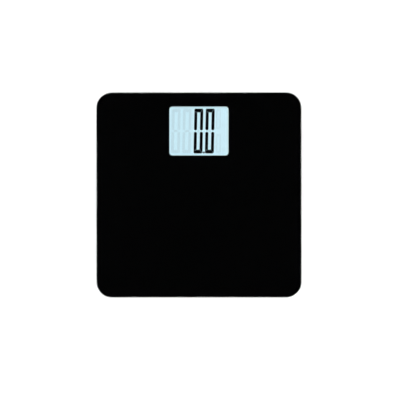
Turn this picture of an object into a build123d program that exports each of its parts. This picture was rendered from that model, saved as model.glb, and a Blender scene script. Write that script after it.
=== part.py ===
from build123d import *
import os
from math import cos, sin, radians

# Glass-topped digital bathroom scale.
#
# A square tempered-glass platform, printed black on its underside except for the display window,
# stands on four load-cell feet. An electronics pod bonded under the window holds the display, its
# backlight, the circuit board and three AAA cells. Frame: +Z up, origin on the floor under the
# middle of the platform, +Y towards the display edge. Millimetres.

os.makedirs("parts", exist_ok=True)

# ------------------------------------------------------------------ driving dimensions
PLATFORM = 300.0          # side of the square glass
CORNER_R = 22.5           # plan radius of its corners
GLASS_T = 6.0             # tempered glass
HEIGHT = 25.0             # floor to the glass top
TOP_ARRIS = 1.1           # polished round along the top edge
LOW_ARRIS = 0.3           # round along the lower edge
PRINT_T = 0.15            # black enamel under the glass
PRINT_INSET = 0.3

WINDOW_W, WINDOW_H = 86.8, 71.7   # clear display window in the print
WINDOW_R = 4.7
WINDOW_Y = 93.7                   # its centre, towards the display edge

TAPE_T = 0.8              # bonding foam between the print and what hangs from it

FOOT_XY = 104.0           # feet centres
HOUSING_R = 33.0
PAD_R = 22.0
FOOT_DROP = 0.8           # how far a foot hangs below its working height

POD_W, POD_L, POD_Y = 114.0, 134.0, 73.0   # pod plan at its rim, and the y of its centre
POD_R = 12.0
POD_BOTTOM = 4.5
POD_WALL = 2.0

BAY_W, BAY_L, BAY_Y = 53.0, 35.0, 29.0     # battery bay inside
CELL_R, CELL_LEN, CELL_PITCH = 5.2, 43.3, 11.2

HINGE_Y, HINGE_Z = 10.4, 5.4               # battery door's pivot line, along X
DOOR_T = 1.8

BUTTON_X, BUTTON_Y = 40.5, 26.0
BUTTON_R = 4.8
BUTTON_TRAVEL = 0.5

# ------------------------------------------------------------------ levels that follow
GLASS_BOTTOM = HEIGHT - GLASS_T                  # 19.0
PRINT_BOTTOM = GLASS_BOTTOM - PRINT_T            # 18.85
SEAT = PRINT_BOTTOM - TAPE_T                     # 18.05, top of everything taped on
PLATE_T = 2.0                                    # foot housing's top plate
RIM = 16.25                                      # pod cover's rim under the pod frame
CELL_BOTTOM, CELL_T = 11.5, 2.0                  # load cell plate
CELL_TOP = CELL_BOTTOM + CELL_T
WALL_TOP = POD_BOTTOM + 2.2                      # inner face of the pod's bottom wall, 6.7
TRAY_BOTTOM = 12.15                              # display tray's underside, on the board
BOARD_T = 1.6
BOARD_BOTTOM = TRAY_BOTTOM - BOARD_T             # 10.55
LCD_STEP = 15.65                                 # step the display cell rests on
CELL_Z = 11.6                                    # height of the batteries' axes
WIRE_R = 0.5
WIRE_PITCH = 1.3
WIRE_Z = 14.1                                    # sensor wires where they leave a foot
BAY_ROOF = 16.9                                  # inner face of the bay's roof

# Each cell: the y of its axis and which end, -X or +X, its positive terminal is at.
CELLS = [(BAY_Y - CELL_PITCH, -1), (BAY_Y, 1), (BAY_Y + CELL_PITCH, -1)]

# Each foot: its centre and the direction its wires leave in, degrees from +X.
FRONT_TURN = 120.2
FEET = {
    "front_left": ((-FOOT_XY, -FOOT_XY), 180.0 - FRONT_TURN),
    "front_right": ((FOOT_XY, -FOOT_XY), FRONT_TURN),
    "rear_left": ((-FOOT_XY, FOOT_XY), 0.0),
    "rear_right": ((FOOT_XY, FOOT_XY), 180.0),
}


def level(z, at=(0.0, 0.0), turn=0.0):
    """Horizontal work plane at height z, centred on a point and turned about Z."""
    c, s = cos(radians(turn)), sin(radians(turn))
    return Plane(origin=(at[0], at[1], z), x_dir=(c, s, 0), z_dir=(0, 0, 1))


def upright(at=(0.0, 0.0), turn=0.0):
    """Vertical work plane through a foot's axis: local x runs outwards, local y is up."""
    c, s = cos(radians(turn)), sin(radians(turn))
    return Plane(origin=(at[0], at[1], 0), x_dir=(c, s, 0), z_dir=(s, -c, 0))


def keep(builder, name):
    builder.part.label = name
    export_step(builder.part, f"parts/{name}.step")


# ------------------------------------------------------------------ platform
with BuildPart() as glass_platform:
    with BuildSketch(Plane.XY.offset(GLASS_BOTTOM)):
        RectangleRounded(PLATFORM, PLATFORM, CORNER_R)
    extrude(amount=GLASS_T)
    fillet(glass_platform.edges().group_by(Axis.Z)[-1], TOP_ARRIS)
    fillet(glass_platform.edges().group_by(Axis.Z)[0], LOW_ARRIS)
keep(glass_platform, "glass_platform")

with BuildPart() as back_print:
    with BuildSketch(Plane.XY.offset(PRINT_BOTTOM)):
        RectangleRounded(PLATFORM - 2 * PRINT_INSET, PLATFORM - 2 * PRINT_INSET, CORNER_R - PRINT_INSET)
        with Locations((0, WINDOW_Y)):
            RectangleRounded(WINDOW_W, WINDOW_H, WINDOW_R, mode=Mode.SUBTRACT)
    extrude(amount=PRINT_T)
keep(back_print, "back_print")

# Foam discs that bond the four foot housings to the print.
with BuildPart() as foot_tapes:
    with BuildSketch(Plane.XY.offset(SEAT)):
        with Locations(*[at for at, turn in FEET.values()]):
            Circle(HOUSING_R - 1.5)
    extrude(amount=TAPE_T)
keep(foot_tapes, "foot_tapes")


# ------------------------------------------------------------------ feet
def make_foot_housing(at, turn):
    """Open dish that holds the load cell and traps the foot cup with four snap lips."""
    axis = Axis((at[0], at[1], 0), (0, 0, 1))
    with BuildPart() as housing:
        with BuildSketch(upright(at, turn)):
            with BuildLine():
                Polyline(
                    (0, SEAT - PLATE_T), (30.6, SEAT - PLATE_T), (30.0, 6.2), (32.2, 6.2),
                    (HOUSING_R, SEAT - PLATE_T), (HOUSING_R, SEAT), (0, SEAT), close=True,
                )
            make_face()
        revolve(axis=axis)
        fillet(housing.edges().filter_by(GeomType.CIRCLE).group_by(Axis.Z)[-1], 0.6)
        fillet(housing.edges().filter_by(GeomType.CIRCLE).group_by(Axis.Z)[0].sort_by(SortBy.RADIUS)[-1], 0.8)
        # Snap lips, on the diagonals.
        for slant in (45, 135):
            with BuildSketch(level(6.2, at, turn)):
                Circle(30.4)
                Circle(27.2, mode=Mode.SUBTRACT)
                Rectangle(70, 13, rotation=slant, mode=Mode.INTERSECT)
            extrude(amount=1.2)
        # Bars that press on the load cell's frame.
        with BuildSketch(level(CELL_TOP, at, turn)):
            with Locations((0, 13.95), (0, -13.95)):
                Rectangle(32, 2.7)
        extrude(amount=SEAT - PLATE_T - CELL_TOP + 0.2)
        # Hooks under the frame's long sides, and end stops.
        with BuildSketch(level(10.4, at, turn)):
            with GridLocations(20, 36.2, 2, 2):
                Rectangle(5, 1.5)
        extrude(amount=SEAT - PLATE_T - 10.4 + 0.2)
        with BuildSketch(level(10.4, at, turn)):
            with GridLocations(20, 35.15, 2, 2):
                Rectangle(5, 2.55)
        extrude(amount=1.0)
        with BuildSketch(level(11.8, at, turn)):
            with GridLocations(36.1, 18, 2, 2):
                Rectangle(1.5, 5)
        extrude(amount=SEAT - PLATE_T - 11.8 + 0.2)
        # Gussets between the top plate and the wall.
        with BuildSketch(level(12.5, at, turn)):
            with PolarLocations(28.3, 12, start_angle=15):
                Rectangle(4.8, 1.2)
        extrude(amount=SEAT - PLATE_T - 12.5 + 0.2)
        # Hole in the wall for the three wires.
        with BuildSketch(level(WIRE_Z - 1.0, at, turn)):
            with Locations((31.5, 0)):
                Rectangle(6, 4.8)
        extrude(amount=2.0, mode=Mode.SUBTRACT)
    return housing


def make_load_cell(at, turn):
    """Stamped steel half-bridge cell: a square frame, a tongue that the foot pushes, two raised flanges."""
    with BuildPart() as cell:
        with BuildSketch(level(CELL_BOTTOM, at, turn)):
            RectangleRounded(34, 34, 3)
            RectangleRounded(25, 25, 2, mode=Mode.SUBTRACT)
            with Locations((7.5, 0)):
                Rectangle(11, 8)
            with Locations((-3.5, 0)):
                RectangleRounded(13, 16, 1.5)
        extrude(amount=CELL_T)
        with BuildSketch(level(CELL_TOP, at, turn)):
            with Locations((0, 16.25), (0, -16.25)):
                Rectangle(20, 1.5)
        extrude(amount=2.0)
    return cell


def make_foot_cup(at, turn):
    """Floating cup: its boss pushes the cell's tongue, its flange hangs on the housing's lips."""
    axis = Axis((at[0], at[1], 0), (0, 0, 1))
    with BuildPart() as cup:
        with BuildSketch(upright(at, turn)):
            with BuildLine():
                Polyline(
                    (0, 3.0), (PAD_R + 0.3, 3.0), (PAD_R + 0.3, 1.4), (25.0, 1.4), (25.6, 8.4), (28.6, 8.4),
                    (28.6, 9.4), (23.6, 9.4), (23.2, 4.8), (5.6, 4.8), (5.1, 10.2), (2.6, 10.6), (2.5, CELL_BOTTOM),
                    (0, CELL_BOTTOM), close=True,
                )
            make_face()
        revolve(axis=axis)
        fillet(cup.edges().filter_by(GeomType.CIRCLE).group_by(Axis.Z)[0].sort_by(SortBy.RADIUS)[-1], 0.5)
        with BuildSketch(level(4.7, at, turn)):
            with PolarLocations(14.3, 8):
                Rectangle(18.4, 1.4)
        extrude(amount=2.9)
    return cup


def make_foot_pad(at, turn):
    """Rubber pad with ring and spoke grooves in its tread."""
    with BuildPart() as pad:
        with BuildSketch(level(0, at, turn)):
            Circle(PAD_R)
        extrude(amount=3.0)
        fillet(pad.edges().filter_by(GeomType.CIRCLE).group_by(Axis.Z)[0], 0.6)
        with BuildSketch(level(0, at, turn)):
            for outer in (7.6, 12.4, 17.2):
                Circle(outer)
                Circle(outer - 1.4, mode=Mode.SUBTRACT)
        extrude(amount=0.7, mode=Mode.SUBTRACT)
        with BuildSketch(level(0, at, turn)):
            with PolarLocations(15.5, 12, start_angle=15):
                Rectangle(15.5, 1.2)
        extrude(amount=0.7, mode=Mode.SUBTRACT)
    return pad


for corner, (at, turn) in FEET.items():
    keep(make_foot_housing(at, turn), f"foot_housing_{corner}")
    keep(make_load_cell(at, turn), f"load_cell_{corner}")
    keep(make_foot_cup(at, turn), f"foot_cup_{corner}")
    keep(make_foot_pad(at, turn), f"foot_pad_{corner}")

# White silicone over the strain gauge on each tongue's neck.
with BuildPart() as strain_gauge_seals:
    for at, turn in FEET.values():
        with BuildSketch(level(CELL_TOP, at, turn)):
            with Locations((5.5, 0)):
                RectangleRounded(7, 6.4, 1.0)
        extrude(amount=1.2)
    fillet(strain_gauge_seals.edges().group_by(Axis.Z)[-1], 0.45)
keep(strain_gauge_seals, "strain_gauge_seals")


# ------------------------------------------------------------------ sensor wires
def shifted(points, d):
    """A route's plan moved sideways by d, each height kept."""
    moved = []
    for i, (x, y, z) in enumerate(points):
        normals = []
        for a, b in ((i - 1, i), (i, i + 1)):
            if a >= 0 and b < len(points):
                dx, dy = points[b][0] - points[a][0], points[b][1] - points[a][1]
                n = (dx * dx + dy * dy) ** 0.5
                normals.append((-dy / n, dx / n))
        nx, ny = sum(n[0] for n in normals), sum(n[1] for n in normals)
        scale = d * 2 / (nx * nx + ny * ny) if len(normals) == 2 else d
        moved.append((x + nx * scale, y + ny * scale, z))
    return moved


def out_of_foot(at, turn, t, z):
    """Point t along the direction in which a foot's wires leave, at height z."""
    return (at[0] + t * cos(radians(turn)), at[1] + t * sin(radians(turn)), z)


DUCT_WIRE_Z = 17.0          # height of the front wires in their covers
DUCT_START, DUCT_END = 45.5, 113.5
PAD_Z = TRAY_BOTTOM + WIRE_R + 0.05      # wires on the board's upper side
UNDER_Z = BOARD_BOTTOM - WIRE_R - 0.05   # and on its lower side


def sensor_route(corner):
    """Middle line of the three wires from a foot's strain gauge to the board, and its bend radii."""
    at, turn = FEET[corner]
    side = 1.0 if at[0] > 0 else -1.0
    if corner.startswith("front"):
        t_turn = (12.0 - at[1]) / sin(radians(turn))
        x_turn = at[0] + t_turn * cos(radians(turn))
        points = [
            out_of_foot(at, turn, 9.0, WIRE_Z),
            out_of_foot(at, turn, 36.0, WIRE_Z),
            out_of_foot(at, turn, 43.0, DUCT_WIRE_Z),
            out_of_foot(at, turn, 116.0, DUCT_WIRE_Z),
            out_of_foot(at, turn, 123.0, WIRE_Z),
            out_of_foot(at, turn, t_turn, WIRE_Z),
            (x_turn, 29.0, WIRE_Z),
            (x_turn, 36.5, PAD_Z),
            (x_turn, 44.0, PAD_Z),
        ]
        return points, [9.0, 9.0, 9.0, 9.0, 8.0, 12.0, 12.0]
    points = [
        out_of_foot(at, turn, 9.0, WIRE_Z),
        (side * 51.6, at[1], WIRE_Z),
        (side * 51.6, 94.0, WIRE_Z),
        (side * 51.6, 84.0, UNDER_Z),
        (side * 51.6, 73.0, UNDER_Z),
        (side * 44.0, 73.0, UNDER_Z),
    ]
    return points, [4.0, 9.0, 9.0, 3.6]


def wire_solid(points, radii, r):
    """A round wire along straight runs joined by tangent arcs."""
    with BuildPart() as wire:
        with BuildLine() as path:
            FilletPolyline(*points, radius=radii)
        start = path.line @ 0
        with BuildSketch(Plane(origin=start, z_dir=path.line % 0)):
            Circle(r)
        sweep(path=path.line)
    return wire


for colour, offset_steps in (("red", 1), ("white", 0), ("black", -1)):
    leads = []
    for corner in FEET:
        points, radii = sensor_route(corner)
        leads.append(wire_solid(shifted(points, offset_steps * WIRE_PITCH), radii, WIRE_R).part)
    with BuildPart() as sensor_wires:
        add(leads)
    keep(sensor_wires, f"sensor_wires_{colour}")

# Channel covers that hold the front wires against the glass.
for corner in ("front_left", "front_right"):
    at, turn = FEET[corner]
    middle, length = (DUCT_START + DUCT_END) / 2, DUCT_END - DUCT_START
    with BuildPart() as wire_cover:
        with BuildSketch(level(15.6, at, turn)):
            with Locations((middle, 0)):
                RectangleRounded(length, 9.0, 2.0)
        extrude(amount=PRINT_BOTTOM - 15.6)
        fillet(wire_cover.edges().group_by(Axis.Z)[0], 1.2)
        with BuildSketch(level(16.4, at, turn)):
            with Locations((middle, 0)):
                Rectangle(length + 4, 5.4)
        extrude(amount=PRINT_BOTTOM - 16.4, mode=Mode.SUBTRACT)
    keep(wire_cover, f"wire_cover_{corner.split('_')[1]}")

# ------------------------------------------------------------------ electronics pod
POD_SCREWS = [(s * x, y) for s in (-1, 1) for x, y in ((48.5, 14.5), (50.0, 55.0), (50.0, 127.0))]
BOARD_SCREWS = [(s * 46.7, y) for s in (-1, 1) for y in (62.0, 80.0)]
FRONT_T = (7.0 + FOOT_XY) / sin(radians(FRONT_TURN))
FRONT_X = FOOT_XY + FRONT_T * cos(radians(FRONT_TURN))     # where the front wires cross the pod's wall

with BuildPart() as pod_frame:
    with BuildSketch(Plane.XY.offset(RIM)):
        with Locations((0, POD_Y)):
            RectangleRounded(POD_W, POD_L, POD_R)
    extrude(amount=SEAT - RIM)
    with BuildSketch(Plane.XY.offset(TRAY_BOTTOM)):
        with Locations((0, 92.7)):
            Rectangle(96.8, 83.8)
    extrude(amount=RIM - TRAY_BOTTOM)
    with BuildSketch(Plane.XY.offset(9.6)):
        with Locations(*POD_SCREWS):
            Circle(3.0)
    extrude(amount=RIM - 9.6)
    # Display cell opening, step, light-guide well, ledge, connector slot and light-strip slot.
    with BuildSketch(Plane.XY.offset(LCD_STEP)):
        with Locations((0, 92.7)):
            Rectangle(93.6, 80.6)
    extrude(amount=SEAT - LCD_STEP, mode=Mode.SUBTRACT)
    with BuildSketch(Plane.XY.offset(12.7)):
        with Locations((0, 95.0)):
            Rectangle(90.0, 76.0)
    extrude(amount=LCD_STEP - 12.7, mode=Mode.SUBTRACT)
    with BuildSketch(Plane.XY.offset(TRAY_BOTTOM)):
        with Locations((0, 95.75)):
            Rectangle(84.0, 67.5)
        with Locations((0, 57.8)):
            Rectangle(82.0, 1.6)
    extrude(amount=12.7 - TRAY_BOTTOM, mode=Mode.SUBTRACT)
    with BuildSketch(Plane.XY.offset(TRAY_BOTTOM)):
        with Locations((0, 54.3)):
            Rectangle(84.0, 2.8)
    extrude(amount=LCD_STEP - TRAY_BOTTOM, mode=Mode.SUBTRACT)
    # Opening over the battery bay and the wires.
    with BuildSketch(Plane.XY.offset(RIM)):
        with Locations((0, 29.15)):
            Rectangle(90.0, 38.9)
    extrude(amount=SEAT - RIM, mode=Mode.SUBTRACT)
    # Blind pilot holes.
    with BuildSketch(Plane.XY.offset(9.6)):
        with Locations(*POD_SCREWS):
            Circle(1.35)
    extrude(amount=7.4, mode=Mode.SUBTRACT)
    with BuildSketch(Plane.XY.offset(TRAY_BOTTOM)):
        with Locations(*BOARD_SCREWS):
            Circle(1.0)
    extrude(amount=3.2, mode=Mode.SUBTRACT)
keep(pod_frame, "pod_frame")

with BuildPart() as pod_tape:
    with BuildSketch(Plane.XY.offset(SEAT)):
        with Locations((0, POD_Y)):
            RectangleRounded(POD_W - 2, POD_L - 2, POD_R - 1)
        with Locations((0, 92.7)):
            Rectangle(94.8, 81.4, mode=Mode.SUBTRACT)
        with Locations((0, 29.1)):
            Rectangle(91.2, 40.2, mode=Mode.SUBTRACT)
    extrude(amount=TAPE_T)
keep(pod_tape, "pod_tape")

with BuildPart() as pod_cover:
    with BuildSketch(Plane.XY.offset(POD_BOTTOM)):
        with Locations((0, POD_Y)):
            RectangleRounded(POD_W - 2, POD_L - 2, POD_R - 1)
    with BuildSketch(Plane.XY.offset(RIM)):
        with Locations((0, POD_Y)):
            RectangleRounded(POD_W, POD_L, POD_R)
    loft(ruled=True)
    fillet(pod_cover.edges().group_by(Axis.Z)[0], 2.4)
    with BuildSketch(Plane.XY.offset(WALL_TOP)):
        with Locations((0, POD_Y)):
            RectangleRounded(POD_W - 2 - 2 * POD_WALL + 0.4, POD_L - 2 - 2 * POD_WALL + 0.4, POD_R - 3)
    with BuildSketch(Plane.XY.offset(RIM)):
        with Locations((0, POD_Y)):
            RectangleRounded(POD_W - 2 * POD_WALL, POD_L - 2 * POD_WALL, POD_R - 2)
    loft(ruled=True, mode=Mode.SUBTRACT)
    # Battery bay: a box from the bottom wall up to its roof, on a thicker pad.
    with BuildSketch(Plane.XY.offset(WALL_TOP - 0.5)):
        with Locations((0, BAY_Y)):
            Rectangle(BAY_W + 2.8, BAY_L + 2.8)
    extrude(amount=17.9 - WALL_TOP + 0.5)
    with BuildSketch(Plane.XY.offset(WALL_TOP - 0.5)):
        with Locations((0, 28.9)):
            Rectangle(60.4, 41.4)
    extrude(amount=8.0 - WALL_TOP + 0.5)
    # Screw bosses.
    with BuildSketch(Plane.XY.offset(WALL_TOP - 0.5)):
        with Locations(*POD_SCREWS):
            Circle(3.6)
    extrude(amount=9.6 - WALL_TOP + 0.5)
    # Stiffening ribs across the floor under the display.
    with BuildSketch(Plane.XY.offset(WALL_TOP - 0.2)):
        with Locations((0, 92.0), (0, 108.0), (0, 124.0)):
            Rectangle(92.0, 1.2)
        with Locations((-24.0, 108.0), (24.0, 108.0)):
            Rectangle(1.2, 33.0)
    extrude(amount=1.7)
    # Inside of the bay, and the rebate that the door lies in.
    with BuildSketch(Plane.XY.offset(POD_BOTTOM)):
        with Locations((0, BAY_Y)):
            Rectangle(BAY_W, BAY_L)
    extrude(amount=BAY_ROOF - POD_BOTTOM, mode=Mode.SUBTRACT)
    # Polarity marks sunk into the bay's roof, a plus and a minus behind each cell.
    with BuildSketch(Plane.XY.offset(BAY_ROOF)):
        with Locations(*[(end * 15.0, y) for y, end in CELLS]):
            Rectangle(5.0, 1.2)
            Rectangle(1.2, 5.0)
        with Locations(*[(-end * 15.0, y) for y, end in CELLS]):
            Rectangle(5.0, 1.2)
    extrude(amount=0.4, mode=Mode.SUBTRACT)
    with BuildSketch(Plane.XY.offset(POD_BOTTOM)):
        with Locations((0, (HINGE_Y - 1.1 + 48.5) / 2)):
            Rectangle(57.0, 48.5 - HINGE_Y + 1.1)
    extrude(amount=6.4 - POD_BOTTOM, mode=Mode.SUBTRACT)
    # Blind sockets for the door's pivot pins.
    for side in (-1, 1):
        with BuildSketch(Plane.YZ.offset(side * 28.4)):
            with Locations((HINGE_Y, HINGE_Z)):
                Circle(0.66)
        extrude(amount=side * 1.6, mode=Mode.SUBTRACT)
    # Pocket for the latch hook and finger scoop beside it.
    with BuildSketch(Plane.XY.offset(6.3)):
        with Locations((0, 47.7)):
            Rectangle(9.4, 1.8)
    extrude(amount=1.2, mode=Mode.SUBTRACT)
    with BuildSketch(Plane.XY.offset(POD_BOTTOM)):
        with Locations((0, 48.4)):
            Ellipse(9.0, 6.0)
            Rectangle(24, 12, align=(Align.CENTER, Align.MAX), mode=Mode.SUBTRACT)
    extrude(amount=1.2, mode=Mode.SUBTRACT)
    # Slots for the two contact tabs.
    with BuildSketch(Plane.XY.offset(12.8)):
        with Locations((-27.2, BAY_Y - CELL_PITCH), (27.2, BAY_Y + CELL_PITCH)):
            Rectangle(2.0, 3.6)
    extrude(amount=0.8, mode=Mode.SUBTRACT)
    # Wire entries in the rim.
    with BuildSketch(Plane.XY.offset(WIRE_Z - 0.9)):
        with Locations((FRONT_X, 7.0), (-FRONT_X, 7.0)):
            Rectangle(8.0, 5.0)
        with Locations((56.0, FOOT_XY), (-56.0, FOOT_XY)):
            Rectangle(6.0, 5.2)
    extrude(amount=RIM - WIRE_Z + 0.9, mode=Mode.SUBTRACT)
    # Button hole in a shallow ring, screw holes with head recesses, blank label recess.
    with BuildSketch(Plane.XY.offset(POD_BOTTOM)):
        with Locations((BUTTON_X, BUTTON_Y)):
            Circle(BUTTON_R + 0.2)
        with Locations(*POD_SCREWS):
            Circle(1.5)
    extrude(amount=6.0, mode=Mode.SUBTRACT)
    with BuildSketch(Plane.XY.offset(POD_BOTTOM)):
        with Locations((BUTTON_X, BUTTON_Y)):
            Circle(7.2)
    extrude(amount=0.5, mode=Mode.SUBTRACT)
    with BuildSketch(Plane.XY.offset(POD_BOTTOM)):
        with Locations(*POD_SCREWS):
            Circle(3.0)
    extrude(amount=2.6, mode=Mode.SUBTRACT)
    with BuildSketch(Plane.XY.offset(POD_BOTTOM)):
        with Locations((0, 95.0)):
            RectangleRounded(70.0, 42.0, 3.0)
    extrude(amount=0.3, mode=Mode.SUBTRACT)
keep(pod_cover, "pod_cover")


def make_screws(places, head_bottom, head_r, head_h, shank_r, shank_top, slot_w, slot_l):
    """Pan-head cross-recessed screws driven upwards, as one group of separate solids."""
    with BuildPart() as screws:
        with BuildSketch(Plane.XY.offset(head_bottom)):
            with Locations(*places):
                Circle(head_r)
        extrude(amount=head_h)
        fillet(screws.edges().group_by(Axis.Z)[0], head_h * 0.42)
        with BuildSketch(Plane.XY.offset(head_bottom + head_h)):
            with Locations(*places):
                Circle(shank_r)
        extrude(amount=shank_top - head_bottom - head_h)
        chamfer(screws.edges().group_by(Axis.Z)[-1], shank_r * 0.5)
        with BuildSketch(Plane.XY.offset(head_bottom)):
            with Locations(*places):
                Rectangle(slot_w, slot_l)
                Rectangle(slot_l, slot_w)
        extrude(amount=head_h * 0.6, mode=Mode.SUBTRACT)
    return screws


keep(make_screws(POD_SCREWS, 5.3, 2.4, 1.8, 1.3, 15.4, 0.7, 3.0), "pod_screws")
keep(make_screws(BOARD_SCREWS, BOARD_BOTTOM - 1.3, 1.8, 1.3, 0.95, 15.0, 0.5, 2.2), "board_screws")

# ------------------------------------------------------------------ display stack, top to bottom
LCD_W, LCD_Y0, LCD_Y1 = 93.0, 52.7, 132.7      # front glass
REAR_Y0 = 56.9                                  # rear glass leaves the contact ledge free
LCD_TOP = PRINT_BOTTOM - 0.6


def slab(name, x_half, y0, y1, z0, z1, corner=0.0):
    """A flat rectangular sheet of the display stack."""
    with BuildPart() as sheet:
        with BuildSketch(Plane.XY.offset(z0)):
            with Locations((0, (y0 + y1) / 2)):
                if corner:
                    RectangleRounded(2 * x_half, y1 - y0, corner)
                else:
                    Rectangle(2 * x_half, y1 - y0)
        extrude(amount=z1 - z0)
    keep(sheet, name)


with BuildPart() as lcd_gasket:
    with BuildSketch(Plane.XY.offset(LCD_TOP)):
        with Locations((0, (LCD_Y0 + LCD_Y1) / 2)):
            Rectangle(LCD_W, LCD_Y1 - LCD_Y0)
        with Locations((0, WINDOW_Y)):
            Rectangle(WINDOW_W + 1.6, WINDOW_H + 1.6, mode=Mode.SUBTRACT)
    extrude(amount=PRINT_BOTTOM - LCD_TOP)
keep(lcd_gasket, "lcd_gasket")
slab("lcd_front_polarizer", LCD_W / 2, LCD_Y0, LCD_Y1, LCD_TOP - 0.2, LCD_TOP)
slab("lcd_front_glass", LCD_W / 2, LCD_Y0, LCD_Y1, LCD_TOP - 1.3, LCD_TOP - 0.2)
slab("lcd_rear_glass", LCD_W / 2, REAR_Y0, LCD_Y1, LCD_TOP - 2.4, LCD_TOP - 1.3)
slab("lcd_rear_polarizer", LCD_W / 2, REAR_Y0, LCD_Y1, LCD_STEP, LCD_STEP + 0.2)
slab("backlight_diffuser", 44.8, 58.8, 132.8, LCD_STEP - 0.2, LCD_STEP)
slab("backlight_guide", 44.8, 58.8, 132.8, 12.95, LCD_STEP - 0.2)
slab("backlight_reflector", 44.8, 58.8, 132.8, 12.7, 12.95)
slab("backlight_led_strip", 40.0, 57.1, 58.0, TRAY_BOTTOM, LCD_STEP - 0.2)
with BuildPart() as backlight_leds:
    with BuildSketch(Plane.XY.offset(13.4)):
        with Locations(*[(x, 58.35) for x in (-30.0, -10.0, 10.0, 30.0)]):
            Rectangle(3.5, 0.7)
    extrude(amount=1.4)
keep(backlight_leds, "backlight_leds")
slab("zebra_connector", 41.5, 53.1, 55.5, TRAY_BOTTOM, LCD_TOP - 1.3)

# ------------------------------------------------------------------ circuit board and what is on it
with BuildPart() as circuit_board:
    with BuildSketch(Plane.XY.offset(BOARD_BOTTOM)):
        with Locations((0, 67.2)):
            Rectangle(92.8, 33.6)
        with Locations(*[(x, y) for x, y in BOARD_SCREWS]):
            RectangleRounded(3.2, 5.0, 1.0)
        with Locations((38.7, 34.5)):
            Rectangle(15.4, 33.0)
        with Locations((-38.7, 43.5)):
            Rectangle(15.4, 15.0)
        with Locations(*BOARD_SCREWS):
            Circle(1.05, mode=Mode.SUBTRACT)
    extrude(amount=BOARD_T)
keep(circuit_board, "circuit_board")

with BuildPart() as controller_chip:
    with BuildSketch(Plane.XY.offset(BOARD_BOTTOM - 1.4)):
        with Locations((-8.0, 67.0)):
            Circle(8.0)
    extrude(amount=1.4)
    fillet(controller_chip.edges().group_by(Axis.Z)[0], 1.1)
keep(controller_chip, "controller_chip")

with BuildPart() as board_components:
    # Chip resistors and capacitors, a crystal can, a boost coil and a driver in a small outline case.
    with BuildSketch(Plane.XY.offset(BOARD_BOTTOM - 0.6)):
        with Locations(*[(x, y) for x in (-30.0, -26.0, -22.0, 6.0, 10.0, 14.0) for y in (58.0, 61.0, 74.0)]):
            Rectangle(1.3, 2.0)
    extrude(amount=0.6)
    with BuildSketch(Plane.XY.offset(BOARD_BOTTOM - 2.5)):
        with Locations((-26.0, 67.5)):
            RectangleRounded(8.0, 3.2, 1.5)
        with Locations((24.0, 62.0)):
            Circle(3.0)
    extrude(amount=2.5)
    with BuildSketch(Plane.XY.offset(BOARD_BOTTOM - 1.5)):
        with Locations((24.0, 73.0)):
            Rectangle(5.0, 4.0)
    extrude(amount=1.5)
keep(board_components, "board_components")


def wire_ends():
    """(x, y, turn, side of the board) where each wire meets the board; turn is the wire's last heading."""
    ends = []
    for corner in FEET:
        for steps in (1, 0, -1):
            points = shifted(sensor_route(corner)[0], steps * WIRE_PITCH)
            (x0, y0, _), (x1, y1, _) = points[-2], points[-1]
            if corner.startswith("front"):
                ends.append((x1, y1, 90.0, 1))
            else:
                ends.append((x1, y1, 180.0 if x1 > 0 else 0.0, -1))
    return ends + [(-32.6, 46.0, 90.0, 1), (32.6, 48.0, 90.0, 1)]


# A small flat-ended mound of solder in front of each wire's end.
SOLDER_H = 1.0
with BuildPart() as solder_joints:
    for x, y, turn, side in wire_ends():
        base = TRAY_BOTTOM if side > 0 else BOARD_BOTTOM - SOLDER_H
        with BuildSketch(level(base, (x, y), turn)):
            with Locations((0.8, 0)):
                Rectangle(1.5, 1.1)
        extrude(amount=SOLDER_H)
    far = [TRAY_BOTTOM + SOLDER_H, BOARD_BOTTOM - SOLDER_H]
    chamfer(solder_joints.edges().filter_by(lambda e: min(abs(e.center().Z - z) for z in far) < 0.01), 0.25)
keep(solder_joints, "solder_joints")

SWITCH_BOTTOM = BOARD_BOTTOM - 2.6
with BuildPart() as tact_switch:
    with BuildSketch(Plane.XY.offset(SWITCH_BOTTOM)):
        with Locations((BUTTON_X, BUTTON_Y)):
            RectangleRounded(6.0, 6.0, 0.5)
    extrude(amount=2.6)
    with BuildSketch(Plane.XY.offset(SWITCH_BOTTOM)):
        with Locations((BUTTON_X, BUTTON_Y)):
            Circle(1.75)
    extrude(amount=1.3, mode=Mode.SUBTRACT)
keep(tact_switch, "tact_switch")

with BuildPart() as unit_button:
    with BuildSketch(Plane.XY.offset(4.2)):
        with Locations((BUTTON_X, BUTTON_Y)):
            Circle(BUTTON_R)
    extrude(amount=WALL_TOP - 4.2)
    fillet(unit_button.edges().group_by(Axis.Z)[0], 0.5)
    with BuildSketch(Plane.XY.offset(WALL_TOP)):
        with Locations((BUTTON_X, BUTTON_Y)):
            Circle(BUTTON_R + 1.3)
    extrude(amount=0.7)
    # Shallow dish for the fingertip.
    with BuildSketch(Plane.XY.offset(4.2)):
        with Locations((BUTTON_X, BUTTON_Y)):
            Circle(3.2)
    extrude(amount=0.3, mode=Mode.SUBTRACT)
keep(unit_button, "unit_button")

with BuildPart() as switch_stem:
    with BuildSketch(Plane.XY.offset(WALL_TOP + 0.7)):
        with Locations((BUTTON_X, BUTTON_Y)):
            Circle(1.6)
    extrude(amount=1.1)
keep(switch_stem, "switch_stem")

# ------------------------------------------------------------------ battery bay
END = BAY_W / 2                                   # inner face of the bay's end walls
PLATE = 0.4
NUB, DIMPLE = 1.2, 0.6

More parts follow.
